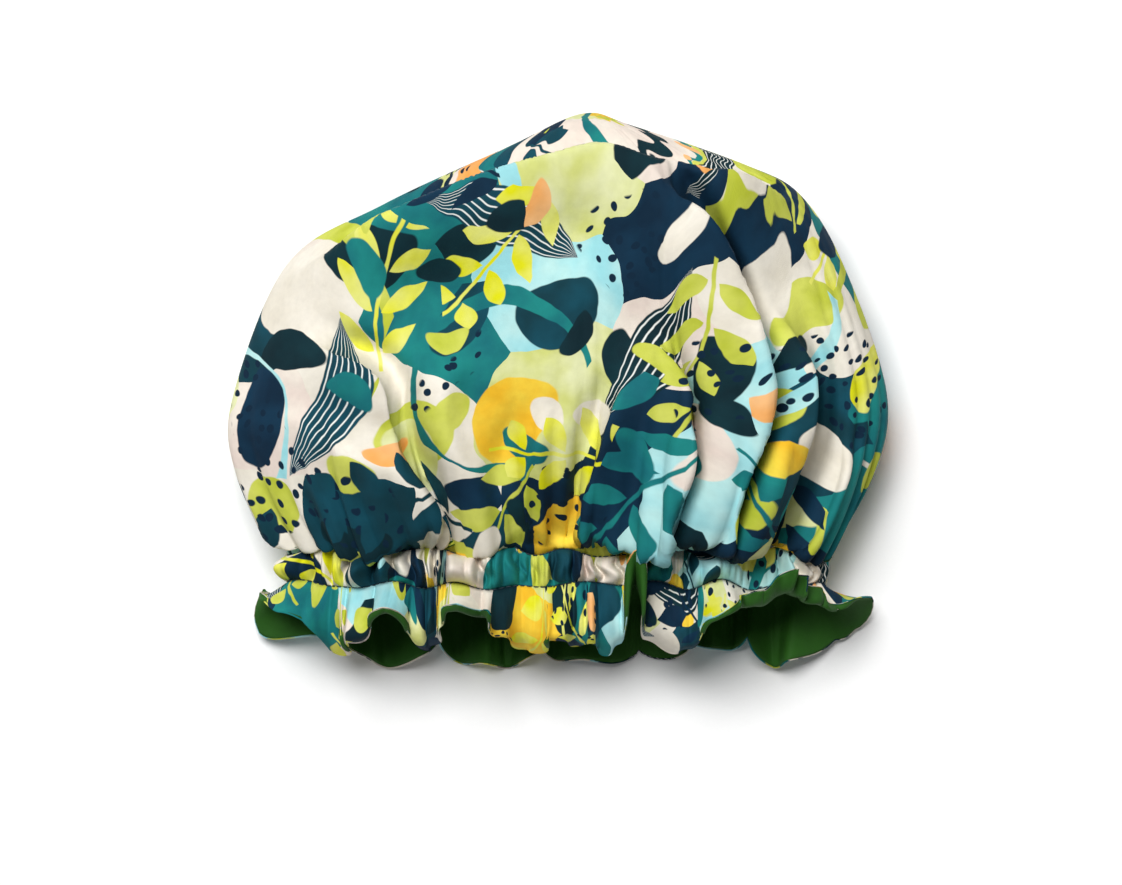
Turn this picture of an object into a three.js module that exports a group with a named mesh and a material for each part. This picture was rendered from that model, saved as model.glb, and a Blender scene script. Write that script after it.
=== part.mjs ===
// A gathered hair bonnet, lying on its back as it does when it is taken off and put down.
// A printed crown and its plain lining are gathered into a casing that holds a loop of flat
// elastic, and a lined ruffle hangs from the casing.
// Millimetres. +Z is up from the surface it lies on, +Y runs from the mouth to the top of the
// crown and +X is to the right. The origin is under the middle of the whole bonnet.
import * as THREE from "three";

// Cloth and seams
const fabricThickness = 0.6;
const layerGap = 0.3;
const stitchRowWidth = 0.7;
const stitchProud = 0.2;
const edgeSeamWidth = 0.8;
const edgeSeamGap = 0.9;
const seamReach = 8;

// Mouth, drawn in by the relaxed elastic
const mouthWidth = 236;
const mouthHeight = 46;
const mouthLift = 3;
const mouthRoundness = 0.8;

// Crown outline seen from above, in order from the left end of the mouth over the peak to its
// right end. The upper stitch row is y = 0 and the middle of the mouth is x = 0.
const crownOutline = [
  [-mouthWidth / 2, 0],
  [-139, 34],
  [-142, 66],
  [-119, 124.5],
  [-77, 151],
  [-20, 177.5],
  [11, 191.5],
  [33, 186],
  [83, 168.5],
  [107, 155],
  [126, 124],
  [145, 68],
  [139, 31],
  [mouthWidth / 2, 0],
];

// Crown heights above the surface it lies on
const crownHeight = 86;
const crownEdgeHeight = 30;
const peakHeight = 24;
const restDepth = 0.5;
const crownRiseLength = 32;
const crownSettleLength = 30;
const crownFallStart = 90;
const crownRoundness = 0.95;
const crownBottomRoundness = 0.45;

// Small gathers all round the crown where it meets the casing
const crownGathers = 12;
const crownGatherDepth = 1.6;
const crownGatherStart = 7;
const crownGatherReach = 55;

// How far the front of the crown slumps towards the casing, near it
const crownSag = 6;
const crownSagReach = 22;

// Main folds of the crown, each a line seen from above, from its soft end to the casing, with the
// height of its ridge and how far the ridge reaches to the left and to the right
const crownFolds = [
  { line: [[30, 162], [60, 134], [76, 100], [82, 62], [72, 32], [62, 4]], rise: 15, left: 32, right: 12 },
  { line: [[40, 92], [50, 54], [46, 26], [34, 4]], rise: 11, left: 15, right: 10 },
  { line: [[92, 106], [105, 66], [92, 24], [78, 4]], rise: 11, left: 13, right: 11 },
  { line: [[132, 48], [118, 22], [98, 4]], rise: 8, left: 10, right: 12 },
  { line: [[30, 74], [20, 44], [12, 4]], rise: 8, left: 11, right: 13 },
  { line: [[-2, 62], [-12, 40], [-12, 4]], rise: 6, left: 11, right: 13 },
  { line: [[-34, 92], [-49, 61], [-34, 24], [-24, 4]], rise: 5, left: 18, right: 12 },
  { line: [[-116, 92], [-82, 70], [-66, 22], [-56, 4]], rise: 9, left: 26, right: 12 },
];

// Share of a fold's length over which it rises out of the smooth cloth
const foldFade = 0.35;

// Shallow dents pressed into the front, each a middle seen from above, a depth and a radius
const crownDents = [
  { middle: [-50, 108], depth: 9, radius: 34 },
  { middle: [98, 112], depth: 6, radius: 26 },
];

// The front rolls over the back of the crown along this line, and the back drops away beyond it
const crownRollLine = [
  [-122, 121],
  [-70, 147],
  [-1, 170],
  [19, 174],
  [62, 164],
  [108, 156],
];
const crownRollDrop = 0.62;
const crownRollWidth = 8;
const crownRollRise = 6;

// Casing between the two stitch rows, and the elastic inside it
const casingWidth = 15.5;
const casingPuff = 1.6;
const casingGathers = 20;
const casingGatherDepth = 0.9;
const elasticRoom = 0.4;
const elasticThickness = 1;
const elasticOverlap = 18;
const elasticJoinPlace = 0.72;
const channelFlank = 1.7;
const threadThickness = 0.5;
const joinStitchPitch = 3;
const gapStitchLength = 26;
const gapStitchPitch = 4;
const gapStitchWidth = 2;

// Ruffle below the lower stitch row
const ruffleWidth = 38;

// The ruffle's free edge at places across the bonnet, from -1 at the mouth's left end to 1 at its
// right end. Its front waves: each place gives how far the edge is drawn back from the cloth's full
// width, and how far it stands up. Its back lies on the surface in low waves, and its places only
// give how far it is drawn back.
const ruffleFront = [
  { across: -1, drawn: 15, stands: 8 },
  { across: -0.94, drawn: 22, stands: 14 },
  { across: -0.86, drawn: 10, stands: -12 },
  { across: -0.73, drawn: 16, stands: -2 },
  { across: -0.58, drawn: 27, stands: 22 },
  { across: -0.47, drawn: 10, stands: -12 },
  { across: -0.33, drawn: 30, stands: 24 },
  { across: -0.18, drawn: 9, stands: -12 },
  { across: -0.05, drawn: 15, stands: 6 },
  { across: 0.03, drawn: 12, stands: -8 },
  { across: 0.09, drawn: 15, stands: 3 },
  { across: 0.2, drawn: 7, stands: -12 },
  { across: 0.32, drawn: 42, stands: 26 },
  { across: 0.46, drawn: 9, stands: -12 },
  { across: 0.55, drawn: 25, stands: 13 },
  { across: 0.71, drawn: 36, stands: 26 },
  { across: 0.83, drawn: 40, stands: 26 },
  { across: 0.93, drawn: 20, stands: 0 },
  { across: 1, drawn: 16, stands: 8 },
];
const ruffleBack = [
  { across: -1, drawn: 15 },
  { across: -0.92, drawn: 15 },
  { across: -0.62, drawn: 3 },
  { across: -0.24, drawn: 1 },
  { across: 0.15, drawn: 2 },
  { across: 0.43, drawn: 6 },
  { across: 0.64, drawn: 9 },
  { across: 0.86, drawn: 4 },
  { across: 0.95, drawn: 14 },
  { across: 1, drawn: 16 },
];
const ruffleEndFlare = 18;
const ruffleSwell = 0.12;
const ruffleBackWaves = 9;
const ruffleBackRise = 14;
const ruffleScallop = 5;

// How finely the curved sheets are faceted
const frontColumns = 46;
const backColumns = 16;
const ruffleFrontColumns = 82;
const ruffleBackColumns = 34;
const ruffleRows = 2;
const crownRowShares = [0, 0.045, 0.15, 0.3, 0.47, 0.64, 0.78, 0.87, 0.94, 1];
const outlineSamples = 400;
const ovalSamples = 120;
const foldSamples = 40;
const slopeStep = 0.5;
const aroundStep = 0.002;

const clamp = THREE.MathUtils.clamp;
const lerp = THREE.MathUtils.lerp;
const smoothstep = THREE.MathUtils.smoothstep;
const crownLength = Math.max(...crownOutline.map(([, y]) => y));
const lowerRow = -casingWidth;
const freeEdge = -(casingWidth + ruffleWidth);
const channelDepth = 2 * (elasticThickness + layerGap) + threadThickness + layerGap;
const liningDepth = fabricThickness + layerGap;
const clothDepth = liningDepth + fabricThickness;
const seamHalf = stitchRowWidth / 2 + layerGap;
const elasticWidth = casingWidth - 2 * (seamHalf + channelFlank + elasticRoom);

function splineOf(points) {
  return new THREE.SplineCurve(points.map(([x, y]) => new THREE.Vector2(x, y)));
}

// A curve sampled at even steps of its length, as a function of the share of that length.
function evenly(curve, count) {
  const points = Array.from({ length: count + 1 }, (_, i) => curve(i / count));
  const lengths = [0];
  for (let i = 1; i <= count; i++) lengths.push(lengths[i - 1] + points[i].distanceTo(points[i - 1]));
  return (share) => {
    const target = clamp(share, 0, 1) * lengths[count];
    let i = 1;
    while (i < count && lengths[i] < target) i++;
    const step = lengths[i] - lengths[i - 1];
    const part = step > 0 ? (target - lengths[i - 1]) / step : 0;
    return points[i - 1].clone().lerp(points[i], part);
  };
}

// The two sides of the crown's outline, each from the mouth to the peak.
const outline = splineOf(crownOutline);
const outlinePoints = outline.getSpacedPoints(outlineSamples);
const peakIndex = outlinePoints.reduce((best, p, i) => (p.y > outlinePoints[best].y ? i : best), 0);
const peakShare = peakIndex / outlineSamples;
const leftSide = evenly((t) => outline.getPointAt(t * peakShare), outlineSamples);
const rightSide = evenly((t) => outline.getPointAt(1 - t * (1 - peakShare)), outlineSamples);

const signedPower = (x, power) => Math.sign(x) * Math.abs(x) ** power;

// A closed oval standing on the surface: its upper half runs from right to left and its lower
// half back again, each in even steps.
const ovals = new Map();
function oval(key, halfWidth, top, edge, bottom, upperPower, lowerPower) {
  if (!ovals.has(key)) {
    const half = (side, height, power) =>
      evenly((t) => {
        const angle = Math.PI * t;
        const across = side * halfWidth * signedPower(Math.cos(angle), power);
        return new THREE.Vector2(across, edge + height * Math.sin(angle) ** power);
      }, ovalSamples);
    const upper = half(1, top - edge, upperPower);
    const lower = half(-1, bottom - edge, lowerPower);
    ovals.set(key, { upper, lower });
  }
  return ovals.get(key);
}

function onOval({ upper, lower }, around) {
  const turn = ((around % 1) + 1) % 1;
  const point = turn < 0.5 ? upper(turn * 2) : lower(turn * 2 - 1);
  point.y = Math.max(point.y, 0);
  return point;
}

// The outward direction of an oval, in its own plane.
function outOfOval(shape, around) {
  const along = onOval(shape, around + aroundStep).sub(onOval(shape, around - aroundStep));
  return new THREE.Vector2(along.y, -along.x).normalize();
}

// 1 on the front of the bonnet and 0 on the back, which lies flat.
const frontShare = (out) => smoothstep(out.y, -0.2, 0.4);

// Distance and place of a point seen from above, from a line that is drawn as a curve.
function nearLine(points, x, y) {
  const at = new THREE.Vector2(x, y);
  let best = { distance: Infinity };
  points.forEach((p, i) => {
    const distance = at.distanceTo(p);
    if (distance < best.distance) best = { distance, share: i / (points.length - 1), point: p };
  });
  return best;
}

const foldLines = crownFolds.map((fold) => splineOf(fold.line).getPoints(foldSamples));
const rollLine = splineOf(crownRollLine).getPoints(foldSamples);

// 0 on the crown's front, 1 on the back of the crown that shows past the front's roll, with a ridge
// along the roll.
function rollAt(x, y) {
  const { distance, point } = nearLine(rollLine, x, y);
  const side = y > point.y ? distance : -distance;
  return {
    beyond: smoothstep(side, 0, crownRollWidth),
    ridge: crownRollRise * Math.exp(-((distance / (2 * crownRollWidth)) ** 2)),
  };
}

// How far the crown's front rises in its folds and falls in its dents.
function foldRise(x, y) {
  const ridges = crownFolds.map(({ rise, left, right }, i) => {
    const { distance, share, point } = nearLine(foldLines[i], x, y);
    const width = x < point.x ? left : right;
    return rise * smoothstep(share, 0, foldFade) * Math.exp(-2 * (distance / width) ** 2);
  });
  const dents = crownDents.map(({ middle, depth, radius }) => {
    const distance = Math.hypot(x - middle[0], y - middle[1]);
    return -depth * Math.exp(-((distance / radius) ** 2) * 2);
  });
  return [...ridges, ...dents].reduce((sum, value) => sum + value, 0);
}

const mouthTop = mouthLift + mouthHeight;
const mouthMiddle = mouthLift + mouthHeight / 2;
const mouthOval = () =>
  oval("mouth", mouthWidth / 2, mouthTop, mouthMiddle, mouthLift, mouthRoundness, mouthRoundness);

// Heights of the crown's section at a distance along from the mouth.
function crownHeights(along) {
  const rise = Math.tanh(along / crownRiseLength);
  const fallShare = clamp((along - crownFallStart) / (crownLength - crownFallStart), 0, 1);
  const fall = Math.sqrt(1 - fallShare ** 2);
  const edge = lerp(lerp(mouthMiddle, crownEdgeHeight, rise), peakHeight, fallShare ** 2);
  const top = edge + fall * (lerp(mouthTop, crownHeight, rise) - edge);
  const floor = lerp(mouthLift, -restDepth, smoothstep(along, 0, crownSettleLength));
  const bottom = edge - (edge - floor) * Math.sqrt(1 - fallShare ** 4);
  return { top, edge, bottom, rise };
}

function crownPoint(around, along) {
  const share = along / crownLength;
  const left = leftSide(share);
  const right = rightSide(share);
  const { top, edge, bottom, rise } = crownHeights(along);
  const middle = left.clone().add(right).multiplyScalar(0.5);
  const halfWidth = left.distanceTo(right) / 2;
  const across = halfWidth > 0 ? right.clone().sub(left).normalize() : new THREE.Vector2(1, 0);
  const shape = oval(
    `crown ${along}`,
    halfWidth,
    top,
    edge,
    bottom,
    lerp(mouthRoundness, crownRoundness, rise),
    lerp(mouthRoundness, crownBottomRoundness, rise),
  );
  const flat = onOval(shape, around);
  const out = outOfOval(shape, around);
  const fade = smoothstep(along, 0, crownGatherStart) * (1 - smoothstep(along, 0, crownGatherReach));
  const depth = crownGatherDepth * fade * frontShare(out) * Math.cos(2 * Math.PI * crownGathers * around);
  flat.addScaledVector(out, depth);
  const x = middle.x + across.x * flat.x;
  let y = middle.y + across.y * flat.x;
  let z = flat.y;
  if (top > edge && z > edge) {
    const share = (z - edge) / (top - edge);
    const { beyond, ridge } = rollAt(x, y);
    z += (foldRise(x, y) + ridge) * smoothstep(share, 0, 0.6) * smoothstep(along, 0, crownGatherStart);
    z = edge + (z - edge) * (1 - crownRollDrop * beyond);
    const slump = smoothstep(along, 0, crownGatherStart) * Math.exp(-((along / crownSagReach) ** 2));
    y -= crownSag * slump * smoothstep(share, 0, 0.6);
  }
  return new THREE.Vector3(x, y, Math.max(z, 0));
}

// A point of the casing, at a distance outwards from the mouth's oval.
function bandPoint(around, along, out) {
  const shape = mouthOval();
  const flat = onOval(shape, around).addScaledVector(outOfOval(shape, around), out);
  return new THREE.Vector3(flat.x, along, flat.y);
}

// The two places of a list between which a place across the bonnet lies, and how far it is from the
// first to the second.
function between(places, across) {
  const after = clamp(places.findIndex((place) => place.across > across), 1, places.length - 1);
  const next = across >= places.at(-1).across ? places.length - 1 : after;
  const [low, high] = [places[next - 1], places[next]];
  return { low, high, share: clamp((across - low.across) / (high.across - low.across), 0, 1) };
}

// How far the ruffle's free edge is drawn back and stands out of the mouth's oval, and how far its
// wave swells sideways.
function ruffleEdge(around, across) {
  const turn = ((around % 1) + 1) % 1;
  if (turn < 0.5) {
    const { low, high, share } = between(ruffleFront, across);
    const wave = 0.5 - 0.5 * Math.cos(Math.PI * share);
    const span = ((high.across - low.across) * mouthWidth) / 2;
    const steep = Math.min(Math.abs(high.stands - low.stands) / span, 1);
    return {
      drawn: lerp(low.drawn, high.drawn, wave),
      stands: lerp(low.stands, high.stands, wave),
      swell: ruffleSwell * span * steep * Math.sin(2 * Math.PI * share),
    };
  }
  const { low, high, share } = between(ruffleBack, across);
  const wave = 0.5 - 0.5 * Math.cos(4 * Math.PI * ruffleBackWaves * turn);
  return {
    drawn: lerp(low.drawn, high.drawn, share) + ruffleScallop * wave,
    stands: -ruffleBackRise * wave,
    swell: 0,
  };
}

function rufflePoint(around, along) {
  const shape = mouthOval();
  const flat = onOval(shape, around);
  const out = outOfOval(shape, around);
  const { drawn, stands, swell } = ruffleEdge(around, flat.x / (mouthWidth / 2));
  const share = Math.max(0, lowerRow - seamHalf - along) / (ruffleWidth - seamHalf);
  const spread = share ** 1.2;
  const rest = Math.max(0, -out.y);
  const push = spread * lerp(stands, ruffleEndFlare, out.x ** 2);
  const x = flat.x + out.x * push + swell * spread;
  const y = along + share * drawn;
  const z = flat.y + out.y * push - spread * mouthLift * rest;
  return new THREE.Vector3(x, y, Math.max(z, 0));
}

// A point of the crown's or the ruffle's outer face. Around is a share of the way round, from the
// right end over the front to the left end and back underneath. Along is 0 on the upper stitch
// row, grows towards the peak and is negative on the casing and the ruffle.
const clothPoint = (around, along) => (along > lowerRow ? crownPoint : rufflePoint)(around, along);

// The outward direction of the cloth. At a stitch row it lies in the plane of the mouth.
function outward(around, along) {
  const [low, high] = along > lowerRow ? [0, crownLength - slopeStep] : [freeEdge, lowerRow];
  const place = clamp(along, low, high);
  const from = Math.max(place - slopeStep, low);
  const to = Math.min(place + slopeStep, high);
  const length = clothPoint(around, to).sub(clothPoint(around, from));
  const girth = clothPoint(around + aroundStep, place).sub(clothPoint(around - aroundStep, place));
  const row = along > lowerRow ? 0 : lowerRow;
  const atRow = outOfOval(mouthOval(), around);
  const away = smoothstep(Math.abs(along - row), 0, seamReach);
  return new THREE.Vector3(atRow.x, 0, atRow.y).lerp(length.cross(girth).normalize(), away).normalize();
}

// A point at a depth under the outer face.
function under(around, along, depth) {
  const point = clothPoint(around, along);
  if (along >= crownLength) return point.add(new THREE.Vector3(0, -depth, 0));
  return point.addScaledVector(outward(around, along), -depth);
}

// A closed solid through sections that each hold the same number of points in a loop, the outer
// face first and then the inner face. Both faces are split the same way into triangles, so that
// layers of cloth lie evenly on each other. The sections close into a ring, or the ends are capped.
function loft(sections, ring) {
  const corners = [];
  const triangle = (a, b, c) => {
    const shortest = Math.min(a.distanceTo(b), b.distanceTo(c), c.distanceTo(a));
    if (shortest > 1e-6) corners.push(...a.toArray(), ...b.toArray(), ...c.toArray());
  };
  const size = sections[0].length;
  const last = ring ? sections.length : sections.length - 1;
  for (let i = 0; i < last; i++) {
    const here = sections[i];
    const next = sections[(i + 1) % sections.length];
    for (let k = 0; k < size; k++) {
      const m = (k + 1) % size;
      const inner = k >= size / 2;
      triangle(here[k], here[m], inner ? next[k] : next[m]);
      triangle(inner ? here[m] : here[k], next[m], next[k]);
    }
  }
  if (!ring) {
    const end = sections[sections.length - 1];
    for (let k = 1; k < size - 1; k++) {
      triangle(sections[0][0], sections[0][k + 1], sections[0][k]);
      triangle(end[0], end[k], end[k + 1]);
    }
  }
  const geometry = new THREE.BufferGeometry();
  geometry.setAttribute("position", new THREE.Float32BufferAttribute(corners, 3));
  geometry.computeVertexNormals();
  return geometry;
}

const evenSteps = (from, to, steps) =>
  Array.from({ length: steps + 1 }, (_, i) => lerp(from, to, i / steps));

// Places of the columns round the bonnet: closer together on the front, where the folds are.
const bodyColumns = [
  ...evenSteps(0, 0.5, frontColumns).slice(0, -1),
  ...evenSteps(0.5, 1, backColumns).slice(0, -1),
];
const ruffleColumnPlaces = [
  ...evenSteps(0, 0.5, ruffleFrontColumns).slice(0, -1),
  ...evenSteps(0.5, 1, ruffleBackColumns).slice(0, -1),
];

// A sheet that goes all the way round, between its outer and its inner face.
function sheet(columns, rows, outer, inner) {
  const sections = columns.map((around) => [
    ...rows.map((along) => outer(around, along)),
    ...rows.toReversed().map((along) => inner(around, along)),
  ]);
  return loft(sections, true);
}

// A layer of the crown or the ruffle, at a depth under the outer face.
function clothSheet(columns, rows, depth) {
  const at = (layer) => (around, along) => under(around, along, layer);
  return sheet(columns, rows, at(depth), at(depth + fabricThickness));
}

const crownRows = crownRowShares.map((share) => lerp(seamHalf, crownLength, share));
const ruffleEnd = freeEdge + edgeSeamWidth + edgeSeamGap;
const ruffleRowPlaces = evenSteps(ruffleEnd, lowerRow - seamHalf, ruffleRows);

// How far the casing swells between its stitch rows, and how far its gathers push it out there.
function casingSwell(around, along) {
  const swell = Math.sin((Math.PI * along) / lowerRow);
  const depth = casingGatherDepth * swell * frontShare(outOfOval(mouthOval(), around));
  return { swell, gather: depth * Math.cos(2 * Math.PI * casingGathers * around) };
}

function casingOut(around, along) {
  const { swell, gather } = casingSwell(around, along);
  return casingPuff * swell + gather;
}

// The lining steps in past both stitch rows to make the channel for the elastic.
function liningIn(around, along) {
  const fromRow = Math.min(-along, along - lowerRow) - seamHalf;
  const { swell, gather } = casingSwell(around, along);
  const step = channelDepth * smoothstep(fromRow, 0, channelFlank);
  return -(liningDepth + step + (casingGatherDepth * swell + gather) / 2);
}

const casingTop = -seamHalf;
const casingBottom = lowerRow + seamHalf;
const casingRows = [casingBottom, lowerRow / 2, casingTop];
const channelRows = [casingBottom, casingBottom + channelFlank, casingTop - channelFlank, casingTop];

function casingSheet(out, rows) {
  const face = (depth) => (around, along) => bandPoint(around, along, out(around, along) - depth);
  return sheet(bodyColumns, rows, face(0), face(fabricThickness));
}

// A row of stitches goes through both layers of cloth where two pieces meet.
function stitchRow(along) {
  const rows = [along - stitchRowWidth / 2, along + stitchRowWidth / 2];
  const face = (out) => (around, place) => bandPoint(around, place, out);
  return sheet(bodyColumns, rows, face(stitchProud), face(-clothDepth - stitchProud));
}

function edgeSeam() {
  const rows = [freeEdge, freeEdge + edgeSeamWidth];
  const face = (depth) => (around, along) => under(around, along, depth);
  return sheet(ruffleColumnPlaces, rows, face(0), face(clothDepth));
}

// A strip or thread inside the casing, with a rectangular section at each place along it.
function strip(places, thickness, width) {
  const sections = places.map(({ around, along, out }) => [
    bandPoint(around, along - width / 2, out),
    bandPoint(around, along + width / 2, out),
    bandPoint(around, along + width / 2, out - thickness),
    bandPoint(around, along - width / 2, out - thickness),
  ]);
  return loft(sections, false);
}

// Share of the way round the mouth that a length of the casing takes at the elastic's join.
function shareOf(length) {
  const here = bandPoint(elasticJoinPlace, 0, 0);
  return (length * aroundStep) / bandPoint(elasticJoinPlace + aroundStep, 0, 0).distanceTo(here);
}

// The elastic goes once round and its end lies under its beginning, sewn there.
function elasticBand() {
  const start = elasticJoinPlace;
  const end = start + 1 + shareOf(elasticOverlap);
  const twice = [...bodyColumns, ...bodyColumns.map((around) => around + 1)];
  const between = twice.filter((around) => around > start && around < end);
  const places = [start, ...between, end].map((around) => {
    const turned = smoothstep(around, start + 1 - shareOf(2 * elasticOverlap), start + 1 - shareOf(1));
    return { around, along: lowerRow / 2, out: -liningDepth - turned * (elasticThickness + layerGap) };
  });
  return strip(places, elasticThickness, elasticWidth);
}

// A zigzag of thread that starts near the elastic's join.
function zigzag(length, pitch, middle, width, outAt) {
  const steps = Math.round(length / pitch);
  const start = elasticJoinPlace + shareOf(pitch);
  const places = evenSteps(0, 1, steps).map((share, i) => {
    const around = start + shareOf(length) * share;
    const along = middle + (i % 2 ? 1 : -1) * (width / 2);
    return { around, along, out: outAt(around, along) };
  });
  return strip(places, threadThickness, threadThickness);
}

function elasticJoinStitch() {
  const out = -liningDepth - 2 * (elasticThickness + layerGap);
  const length = elasticOverlap - 2 * joinStitchPitch;
  return zigzag(length, joinStitchPitch, lowerRow / 2, elasticWidth / 2, () => out);
}

// Hand stitches over the gap in the lining through which the elastic was threaded.
function elasticGapStitch() {
  const middle = lowerRow + seamHalf + channelFlank + gapStitchWidth;
  const deepest = -liningDepth - channelDepth - casingGatherDepth - fabricThickness - layerGap;
  return zigzag(gapStitchLength, gapStitchPitch, middle, gapStitchWidth, () => deepest);
}

// Colours of the cloth and threads
const printedCloth = { color: 0x1f6673, roughness: 0.62, metalness: 0 };
const liningCloth = { color: 0x2f5a26, roughness: 0.6, metalness: 0 };
const whiteElastic = { color: 0xece8df, roughness: 0.85, metalness: 0 };
const darkThread = { color: 0x14242c, roughness: 0.7, metalness: 0 };
const greenThread = { color: 0x2a4d22, roughness: 0.7, metalness: 0 };

const bonnet = new THREE.Group();
function addPiece(name, geometry, look) {
  const mesh = new THREE.Mesh(geometry, new THREE.MeshStandardMaterial(look));
  mesh.name = name;
  bonnet.add(mesh);
}

addPiece("crown_outer", clothSheet(bodyColumns, crownRows, 0), printedCloth);
addPiece("crown_lining", clothSheet(bodyColumns, crownRows, liningDepth), liningCloth);
addPiece("casing_outer", casingSheet(casingOut, casingRows), printedCloth);
addPiece("casing_lining", casingSheet(liningIn, channelRows), liningCloth);
addPiece("elastic_band", elasticBand(), whiteElastic);
addPiece("elastic_join_stitch", elasticJoinStitch(), darkThread);
addPiece("elastic_gap_stitch", elasticGapStitch(), greenThread);
addPiece("upper_stitch_row", stitchRow(0), darkThread);
addPiece("lower_stitch_row", stitchRow(lowerRow), darkThread);
addPiece("ruffle_outer", clothSheet(ruffleColumnPlaces, ruffleRowPlaces, 0), printedCloth);
addPiece("ruffle_lining", clothSheet(ruffleColumnPlaces, ruffleRowPlaces, liningDepth), liningCloth);
addPiece("ruffle_edge_seam", edgeSeam(), printedCloth);

// The origin is under the middle of the whole bonnet, on the surface it lies on.
const box = new THREE.Box3().setFromObject(bonnet);
const middle = box.getCenter(new THREE.Vector3());
bonnet.children.forEach((mesh) => mesh.position.set(-middle.x, -middle.y, -box.min.z));

export default bonnet;
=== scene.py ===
import math
import bmesh
import bpy
import numpy as np
from mathutils import Matrix, Vector


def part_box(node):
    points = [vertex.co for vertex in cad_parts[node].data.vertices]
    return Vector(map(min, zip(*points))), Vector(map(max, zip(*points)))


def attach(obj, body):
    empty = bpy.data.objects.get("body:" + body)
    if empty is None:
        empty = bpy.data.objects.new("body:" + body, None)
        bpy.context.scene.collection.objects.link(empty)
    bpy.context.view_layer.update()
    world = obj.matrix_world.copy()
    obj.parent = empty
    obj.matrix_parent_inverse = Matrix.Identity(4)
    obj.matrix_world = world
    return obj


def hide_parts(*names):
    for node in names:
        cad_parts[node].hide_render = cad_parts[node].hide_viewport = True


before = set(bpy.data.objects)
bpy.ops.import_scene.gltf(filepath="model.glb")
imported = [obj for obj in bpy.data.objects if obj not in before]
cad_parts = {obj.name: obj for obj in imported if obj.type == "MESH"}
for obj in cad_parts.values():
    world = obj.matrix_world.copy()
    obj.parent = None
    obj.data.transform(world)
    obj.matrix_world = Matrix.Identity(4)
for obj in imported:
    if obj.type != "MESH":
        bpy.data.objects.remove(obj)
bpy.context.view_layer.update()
print("frame loaded")

# Shapes below are worked out in millimetres, across and along from the middle of the mouth at the upper
# stitch row and up from the floor, and moved into the frame when a mesh is made.
rowLow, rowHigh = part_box("upper_stitch_row")
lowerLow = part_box("lower_stitch_row")[0]
mouthPlace = np.array([(rowLow[0] + rowHigh[0]) / 2, (rowLow[1] + rowHigh[1]) / 2, 0]) * 1000
casingWidth = (rowLow[1] - lowerLow[1]) * 1000

# How far the row's solid stands out of the mouth's oval
rowOut = 0.2

mouth = {
    "width": (rowHigh[0] - rowLow[0]) * 1000 - 2 * rowOut,
    "bottom": rowLow[2] * 1000 + rowOut,
    "top": rowHigh[2] * 1000 - rowOut,
    "roundness": 0.8,
    "pleats": 46,
    "pleatDepth": 3.2,
    "rowDrift": 2.6,
    "clearance": 0.5,
}
mouthMiddle = (mouth["bottom"] + mouth["top"]) / 2


def smoothStep(x, low, high):
    t = np.clip((x - low) / (high - low), 0, 1)
    return t * t * (3 - 2 * t)


def mix(a, b, t):
    return a + (b - a) * t


def bell(x):
    return np.exp(-(x**2))


def unit(vectors):
    return vectors / np.linalg.norm(vectors, axis=-1, keepdims=True)


def signedPower(x, power):
    return np.sign(x) * np.abs(x) ** power


def catmullRom(points, count):
    points = np.array(points, float)
    padded = np.vstack([points[:1], points, points[-1:]])
    place = np.linspace(0, len(points) - 1, count + 1)
    first = np.minimum(place.astype(int), len(points) - 2)
    t = (place - first)[:, None]
    a, b, c, d = (padded[first + k] for k in range(4))
    return 0.5 * (2 * b + (c - a) * t + (2 * a - 5 * b + 4 * c - d) * t**2 + (3 * b - a - 3 * c + d) * t**3)


def lengthsAlong(points):
    steps = np.linalg.norm(np.diff(points, axis=0), axis=1)
    return np.concatenate([[0], np.cumsum(steps)])


def evenly(points, shares):
    lengths = lengthsAlong(points)
    targets = np.asarray(shares) * lengths[-1]
    return np.stack([np.interp(targets, lengths, points[:, k]) for k in range(points.shape[1])], axis=-1)


def wander(place, seed, harmonics=5):
    # A smooth closed random curve of a place from 0 to 1 round a ring, mostly between -1 and 1
    dice = np.random.default_rng(seed)
    total = np.zeros_like(place)
    for k in range(1, harmonics + 1):
        total += dice.normal() * np.cos(2 * np.pi * (k * place + dice.random())) / math.sqrt(harmonics)
    return total


def ovalSection(around, halfWidth, top, edge, bottom, upperPower, lowerPower):
    # Upper half from right to left, then the lower half back, each in even steps
    angle = np.linspace(0, np.pi, 241)
    halves = []
    for side, end, power in ((1, top, upperPower), (-1, bottom, lowerPower)):
        halves.append(np.stack([
            side * halfWidth * signedPower(np.cos(angle), power),
            edge + (end - edge) * np.sin(angle).clip(0) ** power,
        ], axis=1))
    upper, lower = halves
    section = np.where((around < 0.5)[:, None], evenly(upper, around * 2), evenly(lower, around * 2 - 1))
    section[:, 1] = np.maximum(section[:, 1], 0)
    return section


def ringColumns(front, back):
    return np.concatenate([np.arange(front) / front / 2, 0.5 + np.arange(back) / back / 2])


def outOf(section):
    along = np.roll(section, -1, axis=0) - np.roll(section, 1, axis=0)
    return unit(np.stack([along[:, 1], -along[:, 0]], axis=1))


def mouthSection(around):
    return ovalSection(
        around, mouth["width"] / 2, mouth["top"], mouthMiddle, mouth["bottom"],
        mouth["roundness"], mouth["roundness"],
    )


def gatherPhase(around, count, seed):
    # Counts the gathers passed on the way round a ring, with uneven spaces between them
    return count * around + 1.4 * wander(around, seed, 9) + 0.6 * wander(around, seed + 1, 25)


def gathers(around, count, seed):
    # Round crests with sharp valleys between them, from 0 to 1
    return np.abs(np.cos(np.pi * gatherPhase(around, count, seed))) ** 0.6


def pleats(around, drift=0):
    # The main gathers, which run from the crown through the casing into the ruffle
    size = np.clip(0.8 + 0.45 * wander(around, 15, 17), 0.4, 1.5)
    return gathers(around + drift * 0.001 * wander(around, 13, 12), mouth["pleats"], 11) * size


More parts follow.
